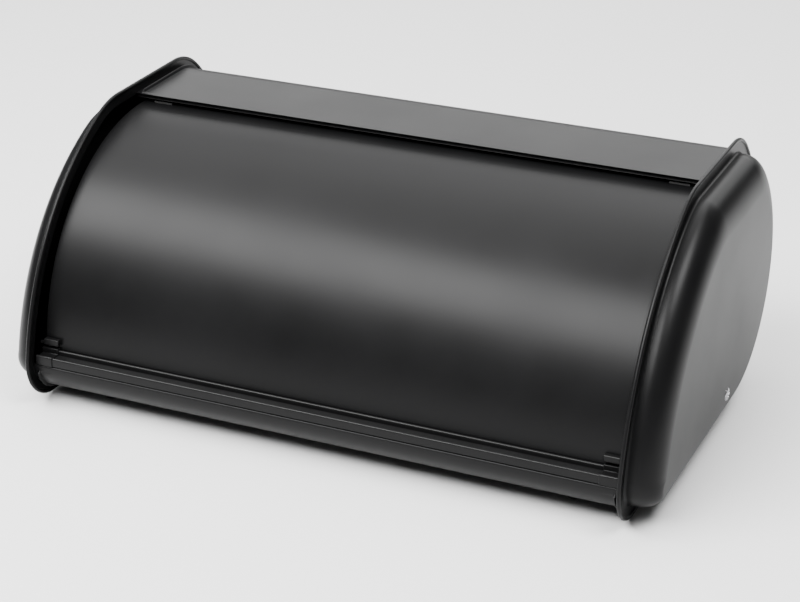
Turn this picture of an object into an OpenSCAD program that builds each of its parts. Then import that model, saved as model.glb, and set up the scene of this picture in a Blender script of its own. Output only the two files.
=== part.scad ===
// Roll-top bread bin: a wrapped sheet-steel body between two domed end panels,
// with a curved lid that swings back inside on two low pivots.
// Frame: X across the bin, +Y to the back, +Z up, origin on the worktop under the middle.

/* [Body] */
// Distance over the two rolled flange rims
flange_span = 412; // [360:1:460]
// Height of the flange outline, from its lowest to its highest point
flange_h = 178; // [176:0.5:180]
// Radius of the bottom front corner of the outline
corner_r = 29; // [28.5:0.5:30]
// Distance of that corner's centre in front of the origin
corner_y = 107.5; // [106:0.5:109]
// Radius of the long front curve of the outline
front_r = 191; // [189:1:194]
// Angle by which the front curve's centre lies below the corner's centre
front_drop = 10.7; // [10:0.1:11.5]
// Radius that blends the front curve into the flat top
brow_r = 60; // [56:1:64]
// Radius of the top rear corner
top_r = 46; // [44:1:48]
// Where the flat top ends, behind the origin
top_end_y = 73.5; // [72:0.5:75]
// Radius of the rounded back
back_r = 95; // [94:0.5:97]
// How far the wrapped sheet lies inside the flange outline
shell_inset = 7.5; // [7:0.5:8]
// Thickness of the steel sheet
sheet_t = 0.6; // [0.5:0.1:0.8]
// Gap between the flange rims and the worktop
rim_lift = 1.5; // [1:0.1:2.5]

/* [End panels] */
// How far each dome stands out beyond the rolled rim
dome_depth = 19.5; // [19:0.5:21]
// Radius of the rolled bead around the flange
bead_r = 1.3; // [1.1:0.1:1.4]
// Width of the flat flange outside the dome
flange_w = 8; // [7.5:0.5:8]
// Depth of the dome's soft shoulder
shoulder_h = 16; // [14:0.5:16]
// Width of the shoulder along the bottom
shoulder_low = 9.5; // [8:0.5:10]
// Width of the shoulder along the top
shoulder_high = 24; // [18:0.5:24]

/* [Lid] */
// Outer radius of the lid about its pivots
lid_r = 138; // [136:0.5:138]
// Width of the lid sheet
lid_w = 402; // [396:1:403]
// Height of the pivots above the flange's lowest point
pivot_h = 26; // [25:0.5:27]
// Distance of the pivots behind the origin
pivot_y = 20; // [19:0.5:21]
// Angle of the lid's rear edge above the horizontal, seen from the pivots
lid_top_angle = 87.5; // [87:0.5:88.5]
// Angle of the lid's lower edge
lid_low_angle = 179; // [178.5:0.5:180]
// How far the lid is turned open
lid_open = 0; // [0:1:45]

/* [Pivots] */
// Radius of the pivot screws
screw_r = 2.5; // [2:0.1:3]
// Radius of the spigot that carries a lid arm
spigot_r = 4; // [3.7:0.1:4.5]
// Radial running clearance of the arm on its spigot
pivot_clear = 0.05; // [0.03:0.01:0.1]

/* [Feet] */
// Radius of a foot where it meets the base
foot_r = 8; // [6:0.5:9]
// Distance of the feet either side of the middle
foot_x = 165; // [120:5:185]

/* [Hidden] */

steel = [0.06, 0.06, 0.065];
plastic = [0.11, 0.11, 0.11];
rubber = [0.03, 0.03, 0.03];
zinc = [0.7, 0.7, 0.72];

// Arc centres of the outline, as [y, z]; each arc is tangent to its neighbours
corner_c = [-corner_y, rim_lift + corner_r];
front_c = corner_c + (front_r - corner_r) * [cos(front_drop), -sin(front_drop)];
brow_z = rim_lift + flange_h - brow_r;
brow_c = [front_c.x - sqrt(pow(front_r - brow_r, 2) - pow(brow_z - front_c.y, 2)), brow_z];
brow_a = atan2(brow_c.y - front_c.y, brow_c.x - front_c.x);
top_c = [top_end_y, rim_lift + flange_h - top_r];
back_z = rim_lift + back_r;
back_c = [top_c.x - sqrt(pow(back_r - top_r, 2) - pow(top_c.y - back_z, 2)), back_z];
back_a = atan2(top_c.y - back_c.y, top_c.x - back_c.x);
pivot = [pivot_y, rim_lift + pivot_h];

top_z = rim_lift + flange_h - shell_inset;        // outer face of the top
base_z = rim_lift + shell_inset;                  // under face of the base
flange_x = flange_span / 2 - bead_r;              // middle of the flange sheet
flange_out = flange_x + sheet_t / 2;              // its outer face
flange_in = flange_x - sheet_t / 2;               // its inner face
dome_x = flange_span / 2 + dome_depth;            // outer face of a dome

// ---- Shared shapes ----------------------------------------------------

arc_step = 1.5;        // degrees of arc per facet of a strip

// Extrudes a section in (y, z) along X, from x0 to x1
module along_x(x0, x1) {
    translate([x0, 0, 0]) rotate([90, 0, 90]) linear_extrude(x1 - x0) children();
}

// A cylinder along X through a point in (y, z)
module rod_x(p, r, x0, x1, fn = 48) {
    translate([x0, p.x, p.y]) rotate([0, 90, 0]) cylinder(r = r, h = x1 - x0, $fn = fn);
}

// Points of an arc inset by d, without its last point
function arc_points(c, r, a0, a1, n, d = 0) =
    [for (i = [0:n - 1]) let (a = a0 + (a1 - a0) * i / n) c + (r - d) * [cos(a), sin(a)]];

// The same with its last point
function whole_arc(c, r, a0, a1, n, d = 0) = concat(arc_points(c, r, a0, a1, n, d), [c + (r - d) * [cos(a1), sin(a1)]]);

function reversed(list) = [for (i = [len(list) - 1:-1:0]) list[i]];

// A sheet strip along an arc: outer radius r, thickness t, from angle a0 to a1
module arc_strip(c, r, a0, a1, t = sheet_t) {
    n = ceil(abs(a1 - a0) / arc_step);
    polygon(concat(whole_arc(c, r, a0, a1, n), reversed(whole_arc(c, r, a0, a1, n, t))));
}

// Builds the children on the right, or mirrored to the left
module on_side(side) {
    mirror([side == "left" ? 1 : 0, 0, 0]) children();
}

// ---- Body shell -------------------------------------------------------

hem_r = 2.4;           // outer radius of the rolled front edge
hem_y = 16.5;          // its front face
sill_angle = 185;      // where the sill stops, about the corner's centre
sill_fold = 5;         // return along the top of the sill
hem_curl = 330;        // angle at which the roll's curl ends
rib_h = 2;             // height of the stiffening rib along each end of the sheet
rib_t = 1.2;           // its thickness
rib_x = 201.2;         // its outer face
hem_c = [hem_y + hem_r, top_z - hem_r];
sill_top = corner_c + (corner_r - shell_inset) * [cos(sill_angle), sin(sill_angle)];

// One face of the wrapped sheet, inset by d, from the front of the top round to the sill
function wrap_line(d, sill_a = sill_angle) = concat(
    [[hem_c.x, rim_lift + flange_h - d]],
    arc_points(top_c, top_r, 90, back_a, 8, d),
    arc_points(back_c, back_r, back_a, -90, 36, d),
    [back_c - [0, back_r - d]],
    whole_arc(corner_c, corner_r, 270, sill_a, 18, d));

// One face of the rolled front edge, inset by d, up to where the top sheet begins
function hem_line(d) = arc_points(hem_c, hem_r, hem_curl, 90, 20, d);

module body_shell() {
    fold_a = sill_angle + atan(sheet_t / (corner_r - shell_inset));
    color(steel) {
        along_x(-flange_in, flange_in) polygon(concat(
            hem_line(0), wrap_line(shell_inset), [sill_top + [sill_fold, 0], sill_top + [sill_fold, -sheet_t]],
            reversed(wrap_line(shell_inset + sheet_t, fold_a)), reversed(hem_line(sheet_t))));
        for (x = [-rib_x, rib_x - rib_t])
            along_x(x, x + rib_t)
                polygon(concat(wrap_line(shell_inset - rib_h), reversed(wrap_line(shell_inset + sheet_t / 2))));
    }
}

// ---- End panels -------------------------------------------------------

fillet_r = 2;                         // between the flange and the dome's wall
wall_in = flange_w + fillet_r;        // inset of the dome's wall
steps = 3;                            // facets of a quarter turn in the section
shoulder_steps = 6;                   // facets across the shoulder

// Width of the shoulder where the outline faces angle a: narrow below and wide above
function shoulder_w(a) = shoulder_low + (shoulder_high - shoulder_low) * (1 + sin(a)) / 2;

// Points of an arc inset by d and by a share of the shoulder's width, without its last point
function inset_arc(c, r, a0, a1, n, d, share) =
    [for (i = [0:n - 1]) let (a = a0 + (a1 - a0) * i / n) c + (r - d - share * shoulder_w(a)) * [cos(a), sin(a)]];

// The closed outline inset in the same way, clockwise from the bottom front corner
function outline(d, share) = concat(
    inset_arc(corner_c, corner_r, 270, 180 - front_drop, 10, d, share),
    inset_arc(front_c, front_r, 180 - front_drop, brow_a, 14, d, share),
    inset_arc(brow_c, brow_r, brow_a, 90, 5, d, share),
    inset_arc(top_c, top_r, 90, back_a, 7, d, share),
    inset_arc(back_c, back_r, back_a, -90, 22, d, share),
    inset_arc(back_c, back_r, -90, 0, 1, d, share));

// Parts of the panel's section as [inset, share of the shoulder, x];
// back is how far the face lies behind the outer one
function shoulder(back) = [for (i = [0:shoulder_steps]) let (a = 90 * i / shoulder_steps)
    [wall_in + back * sin(a), 1 - sin(a), dome_x - shoulder_h + (shoulder_h - back) * cos(a)]];
function fillet(back) = [for (i = [0:steps]) let (a = 90 * i / steps, r = fillet_r + back)
    [flange_w + r * cos(a), 0, flange_out + fillet_r - r * sin(a)]];
function bead(n) = let (a0 = asin(sheet_t / 2 / bead_r))
    [for (i = [0:n]) let (a = a0 + (360 - 2 * a0) * i / n) [bead_r + bead_r * cos(a), 0, flange_x + bead_r * sin(a)]];

panel_section = concat(shoulder(0), fillet(0), bead(9), reversed(fillet(sheet_t)), reversed(shoulder(sheet_t)));

module pressed_panel() {
    n = len(outline(0, 0));
    m = len(panel_section);
    points = [for (s = panel_section) for (p = outline(s.x, s.y)) [s.z, p.x, p.y]];
    sides = [for (j = [0:m - 2]) for (i = [0:n - 1]) let (k = (i + 1) % n)
        each [[j * n + i, j * n + k, (j + 1) * n + i], [j * n + k, (j + 1) * n + k, (j + 1) * n + i]]];
    outer_face = [for (i = [n - 1:-1:0]) i];
    inner_face = [for (i = [0:n - 1]) (m - 1) * n + i];
    polyhedron(points, concat([outer_face, inner_face], sides));
}

module end_panel(side) {
    color(steel) on_side(side) difference() {
        pressed_panel();
        rod_x(pivot, screw_r + 0.2, flange_x, dome_x + 1);
    }
}

// ---- Lid --------------------------------------------------------------

lid_in = lid_r - sheet_t;                         // inner radius of the lid sheet
lid_x = lid_w / 2;
lid_hem = 2.5;                                    // angle of the folded rear edge
arm_t = 1;
arm_x = lid_x - 2;                                // inner face of an arm
hub_r = 13;
arm_lip = 7;                                      // width of the lip that is welded to the lid
rail_screw_x = [-165, -55, 55, 165];
rail_screw_z = rim_lift + 32.5;
rail_screw_r = 1.1;
rail_head_r = 2.2;                                // of the same screws
rail_head_h = 1.2;
rail_screw_depth = 4.2;                           // of the shank below the head

// Turns the moving parts about the pivots
module lid_pose() {
    translate([0, pivot.x, pivot.y]) rotate([-lid_open, 0, 0]) translate([0, -pivot.x, -pivot.y]) children();
}

module lid_panel() {
    color(steel) lid_pose() difference() {
        along_x(-lid_x, lid_x) polygon(concat(
            whole_arc(pivot, lid_r, lid_top_angle, lid_low_angle, 58),
            whole_arc(pivot, lid_in, lid_low_angle, lid_top_angle + lid_hem, 56),
            whole_arc(pivot, lid_in - sheet_t, lid_top_angle + lid_hem, lid_top_angle, 2)));
        for (x = rail_screw_x)
            translate([x, -corner_y, rail_screw_z]) rotate([90, 0, 0])
                cylinder(r = rail_screw_r + 0.15, h = 20, $fn = 32);
    }
}

// A pie-shaped side plate with a lip that follows the inside of the lid
module lid_arm(side) {
    a0 = lid_top_angle + lid_hem + 0.5;
    a1 = lid_low_angle - 6;
    color(steel) lid_pose() on_side(side) difference() {
        union() {
            along_x(arm_x, arm_x + arm_t) {
                translate(pivot) circle(hub_r, $fn = 64);
                arc_strip(pivot, lid_in, a0, a1, lid_in);
            }
            along_x(arm_x - arm_lip, arm_x + arm_t) arc_strip(pivot, lid_in, a0, a1, arm_t);
        }
        rod_x(pivot, spigot_r + pivot_clear, arm_x - 1, arm_x + arm_t + 1);
    }
}

// ---- Handle rail ------------------------------------------------------

rail_out = 128.4;                     // front face of the rail, in front of the origin
rail_base = rim_lift + 29.2;
rail_top = rim_lift + 37.5;           // crest of the ridge against the lid
ledge_top = rim_lift + 35.3;          // crest of the front ridge
ridge_r = 1.1;
lip_t = 1.2;                          // thickness of the finger ledge between the ridges
rib_out = 122;                        // front face of the rib that takes the screws
rail_x = 190;                         // half the length of the extrusion
cap_x = 202;                          // outer end of an end cap
cap_skin = 0.7;                       // how far a cap stands proud of the rail
cap_out = rail_out + cap_skin;
edge_r = 1.2;                         // radius of a cap's edges
tab_base = rim_lift + 38.5;           // foot and top of the cap's tab
tab_top = rim_lift + 44.8;
tab_out = 120.8;                      // front face of the tab
peg_r = 1.2;                          // of the guide peg on a cap
peg_c = [-119.2, tab_base + 3];
peg_gap = 0.7;                        // between the peg's end and the flange

// Angle of the point on the lid's outer face at height z
function lid_angle(z) = 180 - asin((z - pivot.y) / lid_r);

module rail_section() {
    front_c = [ridge_r - rail_out, ledge_top - ridge_r];
    rear_c = [pivot.x - lid_r - ridge_r, rail_top - ridge_r];
    roof = front_c.y - lip_t;
    polygon(concat(
        [[-rail_out, rail_base]],
        whole_arc(front_c, ridge_r, 180, 0, 8),
        [[rear_c.x - ridge_r, front_c.y]],
        reversed(whole_arc(rear_c, ridge_r, 60, 180, 6)),
        whole_arc(pivot, lid_r, lid_angle(rail_top - ridge_r), lid_angle(rail_base + 1), 4),
        [[-rib_out, rail_base + 1], [-rib_out, roof], [lip_t - rail_out, roof], [lip_t - rail_out, rail_base]]));
}

module handle_rail() {
    color(plastic) lid_pose() difference() {
        along_x(-rail_x, rail_x) rail_section();
        for (x = rail_screw_x)
            translate([x, -rib_out + 0.4, rail_screw_z]) rotate([-90, 0, 0])
                cylinder(r = rail_screw_r, h = 6, $fn = 32);
    }
}

// A moulded cap over the end of the rail: a block like the rail's own section,
// with a tab up the lid and a guide peg towards the flange
module rail_cap(side) {
    block_c = [edge_r - cap_out, ledge_top + cap_skin - edge_r];
    tab_c = [edge_r - tab_out, tab_top - edge_r];
    color(plastic) lid_pose() on_side(side) {
        along_x(rail_x, cap_x) polygon(concat(
            [[-cap_out, rail_base]],
            whole_arc(block_c, edge_r, 180, 20, 6),
            [[-tab_out, block_c.y], [-tab_out, tab_base]],
            whole_arc(tab_c, edge_r, 180, 90, 4),
            whole_arc(pivot, lid_r, lid_angle(tab_top), lid_angle(rail_base), 6)));
        rod_x(peg_c, peg_r, cap_x, flange_in - peg_gap, 32);
    }
}

// Small pan-head screws from inside the lid into the rail
module rail_screws() {
    face_y = pivot.x - sqrt(pow(lid_in, 2) - pow(rail_screw_z - pivot.y, 2)) + 0.15;
    color(zinc) lid_pose() for (x = rail_screw_x) translate([x, face_y, rail_screw_z]) rotate([-90, 0, 0]) {
        cylinder(r = rail_head_r, h = rail_head_h, $fn = 32);
        translate([0, 0, -rail_screw_depth]) cylinder(r = rail_screw_r, h = rail_screw_depth + 0.2, $fn = 32);
    }
}

// ---- Pivots -----------------------------------------------------------

end_play = 0.2;                                   // along the spigot, each side of the arm
bush_x = arm_x + arm_t + end_play;                // inner end of the bush's barrel
bush_r = 6.4;                                     // of the barrel and the washer
washer_x = arm_x - end_play;                      // outer face of the washer
washer_t = 1;
nut_t = 4;
head_h = 1.3;

module pivot_bush(side) {
    color(plastic) on_side(side) difference() {
        union() {
            rod_x(pivot, bush_r, bush_x, dome_x - sheet_t, 64);
            rod_x(pivot, spigot_r, washer_x, bush_x + 1, 64);
        }
        rod_x(pivot, screw_r + 0.1, washer_x - 1, dome_x + 1);
    }
}

module pivot_washer(side) {
    color(zinc) on_side(side) difference() {
        rod_x(pivot, bush_r, washer_x - washer_t, washer_x, 64);
        rod_x(pivot, screw_r + 0.1, washer_x - 2 * washer_t, washer_x + 1);
    }
}

module pivot_nut(side) {
    across_flats = 8;
    color(zinc) on_side(side) difference() {
        rod_x(pivot, across_flats / 2 / cos(30), washer_x - washer_t - nut_t, washer_x - washer_t, 6);
        rod_x(pivot, screw_r, washer_x - 2 * washer_t - nut_t, washer_x);
    }
}

module pivot_screw(side) {
    slot_w = 0.9;
    color(zinc) on_side(side) difference() {
        union() {
            rod_x(pivot, 1.8 * screw_r, dome_x, dome_x + head_h, 64);
            rod_x(pivot, screw_r, washer_x - washer_t - nut_t - 1, dome_x + 0.2);
        }
        for (turn = [45, 135])
            translate([dome_x + head_h - 0.6, pivot.x, pivot.y]) rotate([turn, 0, 0])
                translate([0, -2, -slot_w / 2]) cube([2, 4, slot_w]);
    }
}

// ---- Buffers and feet -------------------------------------------------

buffer_w = 9;

// Pads on the sill that the end caps come down on
module closing_buffer(side) {
    color(rubber) on_side(side)
        translate([cap_x - buffer_w - 1, sill_top.x + 1, sill_top.y])
            cube([buffer_w, sill_fold - 1.5, rail_base - 0.1 - sill_top.y]);
}

// Pads on the lid's rear edge that meet the back when the lid is open
module opening_buffer(side) {
    pad_t = 1.2;
    pad_a = lid_top_angle + 0.1;
    color(rubber) lid_pose() on_side(side)
        along_x(lid_x - 2.5 * buffer_w, lid_x - buffer_w)
            arc_strip(pivot, lid_r + pad_t, pad_a, pad_a + 1.4, pad_t);
}

foot_front_y = -95;
foot_back_y = 33;

module foot(y, side) {
    color(rubber) on_side(side) translate([foot_x, y, 0]) cylinder(r1 = foot_r - 1, r2 = foot_r, h = base_z, $fn = 64);
}

body_shell();
end_panel("left");  // end_panel_left
end_panel("right");  // end_panel_right
lid_panel();
lid_arm("left");  // lid_arm_left
lid_arm("right");  // lid_arm_right
handle_rail();
rail_cap("left");  // rail_cap_left
rail_cap("right");  // rail_cap_right
rail_screws();
pivot_screw("left");  // pivot_screw_left
pivot_screw("right");  // pivot_screw_right
pivot_bush("left");  // pivot_bush_left
pivot_bush("right");  // pivot_bush_right
pivot_washer("left");  // pivot_washer_left
pivot_washer("right");  // pivot_washer_right
pivot_nut("left");  // pivot_nut_left
pivot_nut("right");  // pivot_nut_right
closing_buffer("left");  // closing_buffer_left
closing_buffer("right");  // closing_buffer_right
opening_buffer("left");  // opening_buffer_left
opening_buffer("right");  // opening_buffer_right
foot(foot_front_y, "left");  // foot_front_left
foot(foot_front_y, "right");  // foot_front_right
foot(foot_back_y, "left");  // foot_back_left
foot(foot_back_y, "right");  // foot_back_right
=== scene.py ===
"""Roll-top bread bin in satin black powder coat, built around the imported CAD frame."""

import math

import bmesh
import bpy
from mathutils import Matrix, Vector

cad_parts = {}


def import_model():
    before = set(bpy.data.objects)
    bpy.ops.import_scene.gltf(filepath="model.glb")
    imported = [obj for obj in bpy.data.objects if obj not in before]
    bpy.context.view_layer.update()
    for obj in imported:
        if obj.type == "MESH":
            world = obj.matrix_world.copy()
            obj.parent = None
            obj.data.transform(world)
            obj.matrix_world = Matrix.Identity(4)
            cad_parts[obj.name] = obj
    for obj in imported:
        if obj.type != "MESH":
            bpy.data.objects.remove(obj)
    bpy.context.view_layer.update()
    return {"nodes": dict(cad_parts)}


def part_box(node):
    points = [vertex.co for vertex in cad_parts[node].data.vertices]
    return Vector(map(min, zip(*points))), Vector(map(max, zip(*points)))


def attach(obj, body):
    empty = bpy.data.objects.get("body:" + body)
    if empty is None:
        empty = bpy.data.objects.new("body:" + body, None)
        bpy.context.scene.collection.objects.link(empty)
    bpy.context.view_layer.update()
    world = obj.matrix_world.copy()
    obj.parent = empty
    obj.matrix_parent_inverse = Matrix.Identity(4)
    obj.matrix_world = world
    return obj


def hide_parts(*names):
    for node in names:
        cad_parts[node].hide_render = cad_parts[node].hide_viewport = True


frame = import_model()

MM = 0.001

# ---- Driving dimensions in millimetres, the same as the CAD part's ------------------

FLANGE_SPAN = 412.0
FLANGE_H = 178.0
CORNER_R = 29.0
CORNER_Y = 107.5
FRONT_R = 191.0
FRONT_DROP = 10.7
BROW_R = 60.0
TOP_R = 46.0
TOP_END_Y = 73.5
BACK_R = 95.0
SHELL_INSET = 7.5
SHEET_T = 0.6
RIM_LIFT = 1.5
DOME_DEPTH = 19.5
BEAD_R = 1.3
FLANGE_W = 8.0
SHOULDER_H = 16.0
SHOULDER_LOW = 9.5
SHOULDER_HIGH = 24.0
FILLET_R = 2.0
LID_R = 138.0
LID_W = 402.0
PIVOT = (20.0, RIM_LIFT + 26.0)
LID_TOP_ANGLE = 87.5
LID_LOW_ANGLE = 179.0

TOP_Z = RIM_LIFT + FLANGE_H - SHELL_INSET
BASE_Z = RIM_LIFT + SHELL_INSET
FLANGE_X = FLANGE_SPAN / 2 - BEAD_R
FLANGE_IN = FLANGE_X - SHEET_T / 2
FLANGE_OUT = FLANGE_X + SHEET_T / 2
DOME_X = FLANGE_SPAN / 2 + DOME_DEPTH

SIDES = {"left": -1, "right": 1}


# ---- Plane geometry in (y, z) ------------------------------------------------------

def polar(centre, radius, angle):
    """The point at a radius and an angle in degrees about a centre."""
    a = math.radians(angle)
    return (centre[0] + radius * math.cos(a), centre[1] + radius * math.sin(a))


def arc(centre, radius, a0, a1, steps):
    """Points along an arc, both ends included."""
    return [polar(centre, radius, a0 + (a1 - a0) * i / steps) for i in range(steps + 1)]


def outline_arcs():
    """The panel outline's arcs, clockwise from the bottom front corner, as (centre, radius, a0, a1)."""
    corner = (-CORNER_Y, RIM_LIFT + CORNER_R)
    front = polar(corner, FRONT_R - CORNER_R, -FRONT_DROP)
    brow_z = RIM_LIFT + FLANGE_H - BROW_R
    reach = FRONT_R - BROW_R
    brow = (front[0] - math.sqrt(reach ** 2 - (brow_z - front[1]) ** 2), brow_z)
    brow_a = math.degrees(math.atan2(brow[1] - front[1], brow[0] - front[0]))
    top = (TOP_END_Y, RIM_LIFT + FLANGE_H - TOP_R)
    back_z = RIM_LIFT + BACK_R
    reach = BACK_R - TOP_R
    back = (top[0] - math.sqrt(reach ** 2 - (top[1] - back_z) ** 2), back_z)
    back_a = math.degrees(math.atan2(top[1] - back[1], top[0] - back[0]))
    return {
        "corner": (corner, CORNER_R, 270, 180 - FRONT_DROP),
        "front": (front, FRONT_R, 180 - FRONT_DROP, brow_a),
        "brow": (brow, BROW_R, brow_a, 90),
        "top": (top, TOP_R, 90, back_a),
        "back": (back, BACK_R, back_a, -90),
    }


ARCS = outline_arcs()
ARC_STEPS = {"corner": 30, "front": 60, "brow": 16, "top": 26, "back": 84}


def shoulder_width(angle):
    """Width of the dome's shoulder where the outline faces an angle: narrow below, wide above."""
    return SHOULDER_LOW + (SHOULDER_HIGH - SHOULDER_LOW) * (1 + math.sin(math.radians(angle))) / 2


def outline(inset, share=0.0):
    """The closed panel outline inset by a distance and a share of the shoulder's width."""
    points = []
    for name, (centre, radius, a0, a1) in ARCS.items():
        steps = ARC_STEPS[name]
        for i in range(steps + (name == "back")):
            a = a0 + (a1 - a0) * i / steps
            points.append(polar(centre, radius - inset - share * shoulder_width(a), a))
    return points


# ---- Mesh helpers ------------------------------------------------------------------

def add_object(name, verts, faces, sharp=40):
    """A mesh object in metres from vertices in millimetres, smooth apart from sharp edges."""
    mesh = bpy.data.meshes.new(name)
    mesh.from_pydata([[c * MM for c in v] for v in verts], [], faces)
    bm = bmesh.new()
    bm.from_mesh(mesh)
    bmesh.ops.recalc_face_normals(bm, faces=bm.faces)
    bm.to_mesh(mesh)
    bm.free()
    mesh.shade_smooth()
    mesh.set_sharp_from_angle(angle=math.radians(sharp))
    obj = bpy.data.objects.new(name, mesh)
    bpy.context.scene.collection.objects.link(obj)
    return obj


def strip_faces(rows, row_len):
    """Quads between neighbouring closed rows of row_len vertices each."""
    faces = []
    for j in range(rows - 1):
        for i in range(row_len):
            k = (i + 1) % row_len
            a = j * row_len
            b = a + row_len
            faces.append((a + i, a + k, b + k, b + i))
    return faces


def sweep_x(name, section, stations, shift=None, sharp=40):
    """Sweeps a closed (y, z) section along X; shift(index, x) moves a point by (dy, dz)."""
    verts = []
    for x in stations:
        for i, (y, z) in enumerate(section):
            dy, dz = shift(i, x) if shift else (0, 0)
            verts.append((x, y + dy, z + dz))
    n = len(section)
    faces = strip_faces(len(stations), n)
    faces += [tuple(range(n - 1, -1, -1)), tuple(range((len(stations) - 1) * n, len(stations) * n))]
    return add_object(name, verts, faces, sharp)


def lathe_x(name, profile, centre, side, steps):
    """Turns an (x, radius) profile about the X axis through centre."""
    verts = []
    for x, r in profile:
        for i in range(steps):
            y, z = polar(centre, max(r, 0.001), 360 * i / steps)
            verts.append((side * x, y, z))
    faces = strip_faces(len(profile), steps)
    faces += [tuple(range(steps)), tuple(range((len(profile) - 1) * steps, len(profile) * steps))]
    return add_object(name, verts, faces, 35)


def bevel(obj, width, segments=3, angle=30):
    """Rounds an object's edges."""
    mod = obj.modifiers.new("edges", "BEVEL")
    mod.width = width * MM
    mod.segments = segments
    mod.limit_method = "ANGLE"
    mod.angle_limit = math.radians(angle)


def paint(obj, material):
    """Gives an object one material."""
    obj.data.materials.clear()
    obj.data.materials.append(material)


def install(obj, material, body, slot, *nodes):
    """Gives a piece its finish, its body and the CAD nodes it stands for."""
    paint(obj, material)
    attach(obj, body)
    if nodes:
        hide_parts(*nodes)


# ---- Materials ---------------------------------------------------------------------

def new_material(name, colour, roughness, specular=0.5):
    """A principled material whose plain values sit on the shader's own sockets."""
    mat = bpy.data.materials.new(name)
    mat.use_nodes = True
    shader = mat.node_tree.nodes["Principled BSDF"]
    shader.inputs["Base Color"].default_value = (*colour, 1)
    shader.inputs["Roughness"].default_value = roughness
    shader.inputs["Specular IOR Level"].default_value = specular
    return mat, mat.node_tree, shader


def noise(tree, scale, detail, stretch=(1, 1, 1)):
    """3-D noise in object space, with scale in features per metre."""
    coords = tree.nodes.new("ShaderNodeTexCoord")
    mapping = tree.nodes.new("ShaderNodeMapping")
    mapping.inputs["Scale"].default_value = stretch
    texture = tree.nodes.new("ShaderNodeTexNoise")
    texture.inputs["Scale"].default_value = scale
    texture.inputs["Detail"].default_value = detail
    tree.links.new(coords.outputs["Object"], mapping.inputs["Vector"])
    tree.links.new(mapping.outputs["Vector"], texture.inputs["Vector"])
    return texture.outputs["Fac"]


def spread(tree, value, low, high):
    """Maps a noise value, mostly 0.3 to 0.7, on to a range."""
    node = tree.nodes.new("ShaderNodeMapRange")
    node.inputs["From Min"].default_value = 0.3
    node.inputs["From Max"].default_value = 0.7
    node.inputs["To Min"].default_value = low
    node.inputs["To Max"].default_value = high
    tree.links.new(value, node.inputs["Value"])
    return node.outputs["Result"]


def vary_colour(tree, shader, value, dark, light):
    """Lets a noise value choose between two close colours."""
    mix = tree.nodes.new("ShaderNodeMix")
    mix.data_type = "RGBA"
    mix.inputs["A"].default_value = (*dark, 1)
    mix.inputs["B"].default_value = (*light, 1)
    tree.links.new(value, mix.inputs["Factor"])
    tree.links.new(mix.outputs["Result"], shader.inputs["Base Color"])


def add_bump(tree, shader, layers):
    """Stacks bump layers, each (height value, depth in mm, strength)."""
    normal = None
    for value, depth, strength in layers:
        node = tree.nodes.new("ShaderNodeBump")
        node.inputs["Distance"].default_value = depth * MM
        node.inputs["Strength"].default_value = strength
        tree.links.new(value, node.inputs["Height"])
        if normal:
            tree.links.new(normal, node.inputs["Normal"])
        normal = node.outputs["Normal"]
    tree.links.new(normal, shader.inputs["Normal"])


def powder_coat():
    """Satin black powder coat: a soft orange peel with a finer grain on it."""
    mat, tree, shader = new_material("powder_coat", (0.003, 0.003, 0.0031), 0.36, 0.11)
    cloud = noise(tree, 14, 3)
    grain = noise(tree, 2600, 2)
    peel = noise(tree, 420, 2)
    vary_colour(tree, shader, spread(tree, cloud, 0, 1), (0.0025, 0.0025, 0.0026), (0.0036, 0.0036, 0.0038))
    tree.links.new(spread(tree, cloud, 0.34, 0.39), shader.inputs["Roughness"])
    add_bump(tree, shader, [(peel, 0.02, 0.35), (grain, 0.006, 0.4)])
    return mat


def moulded_plastic(name, colour, roughness, grain_depth):
    """Matt moulded plastic with a fine spark-eroded grain."""
    mat, tree, shader = new_material(name, colour, roughness, 0.13)
    cloud = noise(tree, 40, 2)
    grain = noise(tree, 2200, 3)
    light = tuple(1.25 * c for c in colour)
    vary_colour(tree, shader, spread(tree, cloud, 0, 1), colour, light)
    tree.links.new(spread(tree, cloud, roughness - 0.03, roughness + 0.05), shader.inputs["Roughness"])
    add_bump(tree, shader, [(grain, grain_depth, 0.6)])
    return mat


def zinc_plate():
    """Bright zinc-plated steel with fine turning marks."""
    mat, tree, shader = new_material("zinc_plate", (0.3, 0.3, 0.31), 0.24)
    shader.inputs["Metallic"].default_value = 1.0
    marks = noise(tree, 900, 3, (0.2, 1, 1))
    vary_colour(tree, shader, spread(tree, marks, 0, 1), (0.22, 0.22, 0.23), (0.36, 0.36, 0.37))
    tree.links.new(spread(tree, marks, 0.18, 0.3), shader.inputs["Roughness"])
    add_bump(tree, shader, [(marks, 0.01, 0.3)])
    return mat


def rubber():
    """Matt black rubber."""
    mat, tree, shader = new_material("foot_rubber", (0.02, 0.02, 0.02), 0.8, 0.3)
    grain = noise(tree, 1500, 2)
    vary_colour(tree, shader, spread(tree, grain, 0, 1), (0.016, 0.016, 0.016), (0.026, 0.026, 0.026))
    add_bump(tree, shader, [(grain, 0.03, 0.5)])
    return mat


COAT = powder_coat()
RAIL_PLASTIC = moulded_plastic("rail_plastic", (0.003, 0.003, 0.0031), 0.32, 0.008)
BUSH_PLASTIC = moulded_plastic("bush_plastic", (0.04, 0.04, 0.04), 0.5, 0.008)
ZINC = zinc_plate()
RUBBER = rubber()


# ---- End panels --------------------------------------------------------------------

DIMPLE_R = 6.2
DIMPLE_DEPTH = 0.7
SCREW_HOLE_R = 2.7
RING_STEPS = 48
SHOULDER_STEPS = 32


def dimple_depth(radius):
    """Depth of the pressed dimple round the pivot screw."""
    return DIMPLE_DEPTH * (0.5 + 0.5 * math.cos(math.pi * min(radius / DIMPLE_R, 1)))


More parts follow.
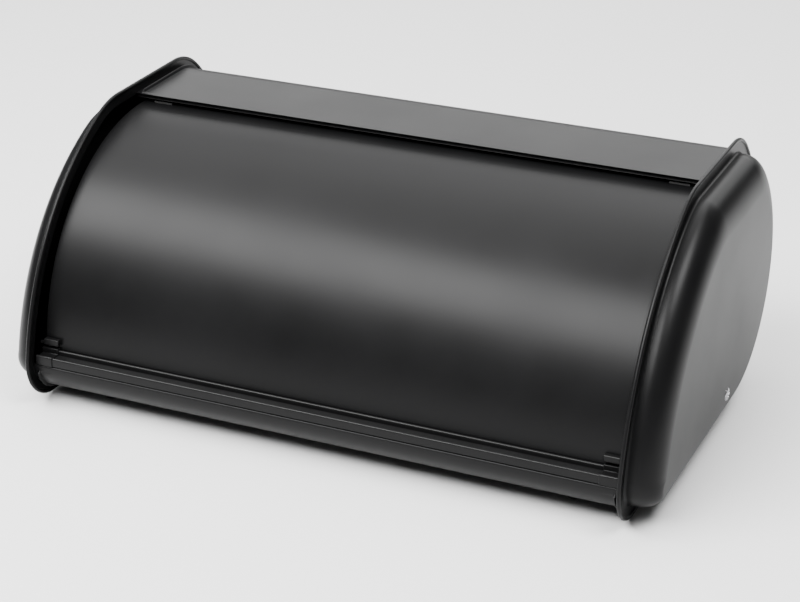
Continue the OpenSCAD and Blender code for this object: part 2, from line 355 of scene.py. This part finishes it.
def bridge(bm, ring_a, ring_b):
    """Quads between two rings of as many vertices."""
    for i in range(len(ring_a)):
        k = (i + 1) % len(ring_a)
        bm.faces.new((ring_a[i], ring_a[k], ring_b[k], ring_b[i]))


def panel_section():
    """The pressed panel's section as (inset, share of the shoulder, x), from the outer to the inner face."""
    wall_in = FLANGE_W + FILLET_R
    fillet_c = (FLANGE_W, FLANGE_OUT + FILLET_R)
    rim_c = (BEAD_R, FLANGE_X)
    gap = math.degrees(math.asin(SHEET_T / 2 / BEAD_R))

    def shoulder(back):
        points = []
        for i in range(SHOULDER_STEPS + 1):
            a = math.radians(90 * i / SHOULDER_STEPS)
            x = DOME_X - SHOULDER_H + (SHOULDER_H - back) * math.cos(a)
            points.append((wall_in + back * math.sin(a), 1 - math.sin(a), x))
        return points

    def plain(points):
        return [(inset, 0.0, x) for inset, x in points]

    outer = shoulder(0) + plain(arc(fillet_c, FILLET_R, 0, -90, 10))
    rim = plain(arc(rim_c, BEAD_R, gap, 360 - gap, 28))
    inner = plain(arc(fillet_c, FILLET_R + SHEET_T, -90, 0, 10)) + shoulder(SHEET_T)[::-1]
    return outer + rim + inner


def fill_dome_face(bm, loop, side, x):
    """Closes a flat dome face inside loop, down to the dimple and its hole; returns the hole's ring."""
    radii = [DIMPLE_R + 0.2] + [DIMPLE_R * (1 - k / 9) for k in range(6)] + [SCREW_HOLE_R]
    circles = []
    for radius in radii:
        depth = dimple_depth(radius)
        ring = [polar(PIVOT, radius, 360 * i / RING_STEPS) for i in range(RING_STEPS)]
        circles.append([bm.verts.new((side * (x - depth) * MM, y * MM, z * MM)) for y, z in ring])
    for a, b in zip(circles, circles[1:]):
        bridge(bm, a, b)
    edges = []
    for ring in (loop, circles[0]):
        for pair in zip(ring, ring[1:] + ring[:1]):
            edges.append(bm.edges.get(pair) or bm.edges.new(pair))
    bmesh.ops.triangle_fill(bm, use_beauty=True, use_dissolve=False, edges=edges)
    return circles[-1]


def end_panel(side_name):
    """A pressed end panel: rolled rim, flat flange, soft-shouldered dome and a dimple for the screw."""
    side = SIDES[side_name]
    section = panel_section()
    verts = []
    for inset, share, x in section:
        verts += [(side * x, y, z) for y, z in outline(inset, share)]
    n = len(outline(0))
    obj = add_object("end_panel_%s_shell" % side_name, verts, strip_faces(len(section), n))
    bm = bmesh.new()
    bm.from_mesh(obj.data)
    bm.verts.ensure_lookup_table()
    last = (len(section) - 1) * n
    outer = bm.verts[:n]
    inner = bm.verts[last:last + n]
    holes = [fill_dome_face(bm, outer, side, DOME_X), fill_dome_face(bm, inner, side, DOME_X - SHEET_T)]
    bridge(bm, *holes)
    bmesh.ops.recalc_face_normals(bm, faces=bm.faces)
    for face in bm.faces:
        face.smooth = True
    bm.to_mesh(obj.data)
    bm.free()
    obj.data.set_sharp_from_angle(angle=math.radians(50))
    install(obj, COAT, "case", "black_steel", "end_panel_%s" % side_name)


# ---- Body shell --------------------------------------------------------------------

HEM_R = 2.4
HEM_Y = 16.5
HEM_C = (HEM_Y + HEM_R, TOP_Z - HEM_R)
HEM_CURL = -30
HEM_STEPS = 24
SILL_ANGLE = 185
SILL_FOLD = 5.0
SILL_FOLD_R = 0.9
RIB_H = 2.0
RIB_X = 200.4
RIB_HALF = 1.1
RIB_RISE = [0.05, 0.3, 0.6, 0.85]
RIB_TAIL = 12


def shell_line(depth):
    """One face of the wrapped sheet, from the hem's curl round the back to the sill's fold."""
    (top_c, top_r, t0, t1) = ARCS["top"]
    (back_c, back_r, b0, b1) = ARCS["back"]
    corner_c, corner_r = ARCS["corner"][:2]
    inset = SHELL_INSET + depth
    sill = polar(corner_c, corner_r - inset, SILL_ANGLE - 2)
    fold_c = (sill[0] + SILL_FOLD_R - depth, sill[1])
    points = arc(HEM_C, HEM_R - depth, HEM_CURL, 90, HEM_STEPS)
    points += [(HEM_C[0] + d, TOP_Z - depth) for d in (1, 2, 3, 4, 5, 6, 8, 30)]
    points += arc(top_c, top_r - inset, t0, t1, 30)
    points += arc(back_c, back_r - inset, b0, b1, 96)[1:]
    points += arc(corner_c, corner_r - inset, 270, SILL_ANGLE, 34)
    points += arc(fold_c, SILL_FOLD_R - depth, 180, 90, 6)
    return points + [(fold_c[0] + SILL_FOLD - SILL_FOLD_R, fold_c[1] + SILL_FOLD_R - depth)]


def shell_normals(line):
    """Outward normals of an open line of points."""
    normals = []
    for i in range(len(line)):
        a = line[max(i - 1, 0)]
        b = line[min(i + 1, len(line) - 1)]
        dy, dz = b[0] - a[0], b[1] - a[1]
        size = math.hypot(dy, dz)
        normals.append((-dz / size, dy / size))
    return normals


def body_shell():
    """The wrapped sheet with its rolled front edge, the rib pressed along each end, and the sill."""
    outer, inner = shell_line(0), shell_line(SHEET_T)
    normals = shell_normals(outer)
    count = len(outer)
    curl = HEM_STEPS + 1
    fades = [0] * curl + RIB_RISE + [1] * (count - curl - len(RIB_RISE) - RIB_TAIL) + [0] * RIB_TAIL

    def rib(x):
        u = (abs(x) - RIB_X) / RIB_HALF
        return RIB_H * (1 - u * u) ** 1.5 if abs(u) < 1 else 0

    def shift(i, x):
        k = i if i < count else 2 * count - 1 - i
        lift = rib(x) * fades[k]
        return (normals[k][0] * lift, normals[k][1] * lift)

    steps = [RIB_X + RIB_HALF * k / 8 for k in range(-8, 9)]
    stations = [0, 60, 120, 170, 190] + steps + [FLANGE_IN - 0.8, FLANGE_IN]
    stations = [-x for x in reversed(stations[1:])] + stations
    obj = sweep_x("body_shell_sheet", outer + inner[::-1], stations, shift)
    install(obj, COAT, "case", "black_steel", "body_shell")


# ---- Lid ---------------------------------------------------------------------------

LID_X = LID_W / 2
LID_EDGE_R = 0.9
LID_HEM_ANGLE = 2.5


def lid_panel():
    """The curved lid sheet, with a folded rear edge and softly turned-in ends."""
    steps = 92
    outer = arc(PIVOT, LID_R, LID_TOP_ANGLE, LID_LOW_ANGLE, steps)
    nose_c = polar(PIVOT, LID_R - SHEET_T, LID_TOP_ANGLE)
    nose = arc(nose_c, SHEET_T, LID_TOP_ANGLE - 180, LID_TOP_ANGLE, 6)[1:-1]
    fold = arc(PIVOT, LID_R - 2 * SHEET_T, LID_TOP_ANGLE + LID_HEM_ANGLE, LID_TOP_ANGLE, 2)
    inner = arc(PIVOT, LID_R - SHEET_T, LID_LOW_ANGLE, LID_TOP_ANGLE + LID_HEM_ANGLE, steps)
    section = outer + inner + fold + nose

    def shift(i, x):
        start = LID_X - LID_EDGE_R
        u = max(abs(x) - start, 0)
        lift = LID_EDGE_R - math.sqrt(max(LID_EDGE_R ** 2 - u ** 2, 0))
        y, z = section[i]
        size = math.hypot(y - PIVOT[0], z - PIVOT[1])
        return (-(y - PIVOT[0]) / size * lift, -(z - PIVOT[1]) / size * lift)

    edge = [LID_X - LID_EDGE_R + LID_EDGE_R * math.sin(math.radians(a)) for a in (0, 15, 30, 45, 60, 75, 90)]
    stations = [0, 50, 100, 150, 190, 198] + edge
    stations = [-x for x in reversed(stations[1:])] + stations
    obj = sweep_x("lid_sheet", section, stations, shift)
    install(obj, COAT, "lid", "black_steel", "lid_panel")


# ---- Handle rail and its caps ------------------------------------------------------

RAIL_OUT = 128.4
RAIL_BASE = RIM_LIFT + 29.2
RAIL_TOP = RIM_LIFT + 37.5
LEDGE_TOP = RIM_LIFT + 35.3
RIDGE_R = 1.1
LIP_T = 1.2
RIB_OUT = 122.0
RAIL_X = 190.0
CAP_X = 202.0
CAP_OUT = RAIL_OUT + 0.7
TAB_BASE = RIM_LIFT + 38.5
TAB_TOP = RIM_LIFT + 44.8
TAB_OUT = 120.8
PEG_C = (-119.2, TAB_BASE + 3)
PEG_R = 1.2
GROOVES = 4
GROOVE_DEPTH = 0.14


def lid_face(z, radius=LID_R):
    """The y of the lid's face at height z, on its front side."""
    return PIVOT[0] - math.sqrt(radius ** 2 - (z - PIVOT[1]) ** 2)


def ledge_points(start, end, steps=48):
    """The flat finger ledge between two crests, with fine lengthwise grooves."""
    points = []
    for i in range(1, steps):
        u = i / steps
        cut = 0.5 - 0.5 * math.cos(2 * math.pi * GROOVES * (u - 0.1) / 0.8) if 0.1 < u < 0.9 else 0
        points.append((start[0] + u * (end - start[0]), start[1] - GROOVE_DEPTH * cut))
    return points + [(end, start[1])]


def rail_section():
    """The rail's open section: two crests, the ledge between them, the seat on the lid and a stiff rib."""
    front_c = (RIDGE_R - RAIL_OUT, LEDGE_TOP - RIDGE_R)
    rear_c = (PIVOT[0] - LID_R - RIDGE_R, RAIL_TOP - RIDGE_R)
    roof = front_c[1] - LIP_T
    foot_r = 0.4
    foot = arc((foot_r - RAIL_OUT, RAIL_BASE + foot_r), foot_r, 270, 180, 4)
    front = arc(front_c, RIDGE_R, 180, 0, 16)
    rear = arc(rear_c, RIDGE_R, 180, 60, 14)
    ledge = ledge_points(front[-1], rear[0][0])
    seat = [(lid_face(z), z) for z in (RAIL_TOP - RIDGE_R, RAIL_BASE + 4, RAIL_BASE + 1)]
    rib = [(-RIB_OUT, RAIL_BASE + 1), (-RIB_OUT, roof)]
    lip = [(LIP_T - RAIL_OUT, roof), (LIP_T - RAIL_OUT, RAIL_BASE)]
    return foot + front + ledge + rear + seat + rib + lip


def handle_rail():
    """The extruded rail with two crests and a grooved ledge between them."""
    obj = sweep_x("handle_rail_extrusion", rail_section(), [-RAIL_X, -60, 60, RAIL_X], sharp=50)
    install(obj, RAIL_PLASTIC, "lid", "rail_plastic", "handle_rail")


def rail_cap(side_name):
    """A moulded end cap: a block with the rail's section, a rounded tab on the lid and a small peg."""
    side = SIDES[side_name]
    edge = 1.2
    block_c = (edge - CAP_OUT, LEDGE_TOP + 0.7 - edge)
    crest = arc(block_c, edge, 180, 0, 10)
    ledge = [(-TAB_OUT, block_c[1]), (-TAB_OUT, TAB_BASE)]
    seat = [(lid_face(z), z) for z in (TAB_BASE, RAIL_TOP, RAIL_BASE + 2, RAIL_BASE)]
    block = [(-CAP_OUT, RAIL_BASE)] + crest + ledge + seat
    obj = sweep_x("rail_cap_%s_block" % side_name, block, [side * RAIL_X, side * CAP_X], sharp=50)
    bevel(obj, 0.45)
    tab_r = 1.0
    tab_c = (tab_r - TAB_OUT, TAB_TOP - tab_r)
    tab_foot = TAB_BASE + 1.6
    tab_seat = [(lid_face(z), z) for z in (TAB_TOP, TAB_TOP - 3, tab_foot)]
    tab = [(-TAB_OUT, tab_foot)] + arc(tab_c, tab_r, 180, 80, 6) + tab_seat
    tab_ends = [side * (RAIL_X - 0.6), side * (CAP_X - 1.4)]
    plate = sweep_x("rail_cap_%s_tab" % side_name, tab, tab_ends, sharp=50)
    bevel(plate, 0.9, 4)
    peg_end = FLANGE_IN - 0.7
    peg_tip = [(peg_end - 0.15, PEG_R - 0.15), (peg_end, PEG_R - 0.5)]
    profile = [(CAP_X - 3, PEG_R), (peg_end - 0.5, PEG_R)] + peg_tip
    peg = lathe_x("rail_cap_%s_peg" % side_name, profile, PEG_C, side, 32)
    install(obj, RAIL_PLASTIC, "lid", "rail_plastic", "rail_cap_%s" % side_name)
    for piece in (plate, peg):
        install(piece, RAIL_PLASTIC, "lid", "rail_plastic")


# ---- Screws and feet ---------------------------------------------------------------

SCREW_R = 2.5
HEAD_R = 4.5
HEAD_H = 1.7
RECESS_R = 2.6
RECESS_ARM = 0.7
RECESS_DEPTH = 1.3
WASHER_X = LID_X - 2.2
SCREW_END = WASHER_X - 6


def pivot_screw(side_name):
    """A pan-head pivot screw with a cross recess, seated in the panel's dimple."""
    side = SIDES[side_name]
    seat_x = DOME_X - DIMPLE_DEPTH * 0.9
    rings, steps = 22, 72
    verts = []
    for j in range(rings + 1):
        r = HEAD_R * math.sin(math.radians(90 * j / rings))
        for i in range(steps):
            a = math.radians(360 * i / steps)
            u, v = r * math.cos(a + math.pi / 4), r * math.sin(a + math.pi / 4)
            height = HEAD_H * math.sqrt(max(1 - (r / HEAD_R) ** 2, 0)) ** 0.7
            arm = min(abs(u), abs(v))
            reach = max(abs(u), abs(v))
            if reach < RECESS_R and arm < RECESS_ARM:
                height -= RECESS_DEPTH * (1 - (arm / RECESS_ARM) ** 6) * min(1, (RECESS_R - reach) / 0.5)
            y, z = polar(PIVOT, r, math.degrees(a))
            verts.append((side * (seat_x + height), y, z))
    head_back = seat_x - 0.5
    tip_r = SCREW_R - 0.5
    shank = ((head_back, HEAD_R), (head_back, SCREW_R), (SCREW_END + 0.5, SCREW_R), (SCREW_END, tip_r))
    for x, r in shank:
        verts += [(side * x, *polar(PIVOT, r, 360 * i / steps)) for i in range(steps)]
    faces = strip_faces(rings + 5, steps)
    faces.append(tuple(range((rings + 4) * steps, (rings + 5) * steps)))
    obj = add_object("pivot_screw_%s_turned" % side_name, verts, faces, 50)
    install(obj, ZINC, "case", "zinc_steel", "pivot_screw_%s" % side_name)


def foot(end, side_name):
    """A moulded rubber foot with a rounded tread."""
    node = "foot_%s_%s" % (end, side_name)
    low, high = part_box(node)
    centre = [(a + b) / 2 / MM for a, b in zip(low, high)]
    radius = (high[0] - low[0]) / 2 / MM
    height = high[2] / MM
    profile = [(0, 0), (radius - 2.2, 0), (radius - 1.5, 0.2), (radius - 1, 0.8), (radius, height)]
    steps = 48
    verts = []
    for r, z in profile:
        verts += [(*polar(centre, max(r, 0.01), 360 * i / steps), z) for i in range(steps)]
    faces = strip_faces(len(profile), steps)
    faces += [tuple(range(steps)), tuple(range((len(profile) - 1) * steps, len(profile) * steps))]
    obj = add_object(node + "_moulding", verts, faces)
    install(obj, RUBBER, "case", "foot_rubber", node)


def finish_cad_nodes():
    """Materials and softened edges for the CAD nodes whose shape is already right."""
    finishes = {
        "lid_arm": (COAT, 0.25), "rail_screws": (ZINC, 0.2), "pivot_bush": (BUSH_PLASTIC, 0.4),
        "pivot_washer": (ZINC, 0.15), "pivot_nut": (ZINC, 0.3), "closing_buffer": (RUBBER, 0.3),
        "opening_buffer": (RUBBER, 0.3),
    }
    for name, obj in frame["nodes"].items():
        for start, (material, width) in finishes.items():
            if name.startswith(start):
                paint(obj, material)
                bevel(obj, width, 2, 40)


body_shell()
lid_panel()
handle_rail()
for side_name in SIDES:
    end_panel(side_name)
    rail_cap(side_name)
    pivot_screw(side_name)
    for end in ("front", "back"):
        foot(end, side_name)
finish_cad_nodes()


# ---- Floor, lights and camera ------------------------------------------------------

def floor():
    """A plain pale floor that runs well past the view."""
    half = 6.0
    mesh = bpy.data.meshes.new("floor")
    corners = [(-half, -half, 0), (half, -half, 0), (half, half, 0), (-half, half, 0)]
    mesh.from_pydata(corners, [], [(0, 1, 2, 3)])
    obj = bpy.data.objects.new("floor", mesh)
    bpy.context.scene.collection.objects.link(obj)
    mat, _, _ = new_material("floor_paper", (0.6, 0.6, 0.6), 0.9, 0.2)
    paint(obj, mat)


def area_light(name, place, target, size, power):
    """A rectangular softbox aimed at a point."""
    data = bpy.data.lights.new(name, "AREA")
    data.shape = "RECTANGLE"
    data.size, data.size_y = size
    data.energy = power
    obj = bpy.data.objects.new(name, data)
    obj.location = place
    obj.rotation_euler = (Vector(target) - Vector(place)).to_track_quat("-Z", "Y").to_euler()
    bpy.context.scene.collection.objects.link(obj)


def world(strength):
    """An even grey surround."""
    surround = bpy.data.worlds.new("surround")
    surround.use_nodes = True
    background = surround.node_tree.nodes["Background"]
    background.inputs["Color"].default_value = (1, 1, 1, 1)
    background.inputs["Strength"].default_value = strength
    bpy.context.scene.world = surround


AZIMUTH, ELEVATION, ROLL = 24.229, 25.0, -0.164
TARGET = Vector((0.0313, -0.0618, 0.0921))
DISTANCE = 1.354
LENS = 96.13


def camera():
    """A long lens, seen from the right of the front and from above."""
    a, e, roll = (math.radians(v) for v in (AZIMUTH, ELEVATION, ROLL))
    back = Vector((math.sin(a) * math.cos(e), -math.cos(a) * math.cos(e), math.sin(e)))
    right = Vector((math.cos(a), math.sin(a), 0))
    up = back.cross(right)
    across = math.cos(roll) * right + math.sin(roll) * up
    upright = math.cos(roll) * up - math.sin(roll) * right
    data = bpy.data.cameras.new("camera")
    data.lens = LENS
    data.sensor_width = 36
    data.clip_start = 0.05
    obj = bpy.data.objects.new("camera", data)
    turn = Matrix((across, upright, back)).transposed()
    obj.matrix_world = Matrix.Translation(TARGET + DISTANCE * back) @ turn.to_4x4()
    bpy.context.scene.collection.objects.link(obj)
    bpy.context.scene.camera = obj


floor()
world(0.12)
area_light("back_softbox", (-0.5, 1.75, 0.95), (0, 0, 0.1), (3.2, 0.9), 34)
area_light("top_softbox", (-0.4, 0.6, 1.75), (0, 0, 0.1), (2.8, 1.5), 68)
area_light("key_softbox", (-0.53, -0.85, 1.32), (-0.1, 0, 0.1), (1.7, 0.7), 106)
area_light("fill_softbox", (0.78, -0.25, 1.5), (0.2, 0, 0.1), (0.8, 0.6), 40)
camera()
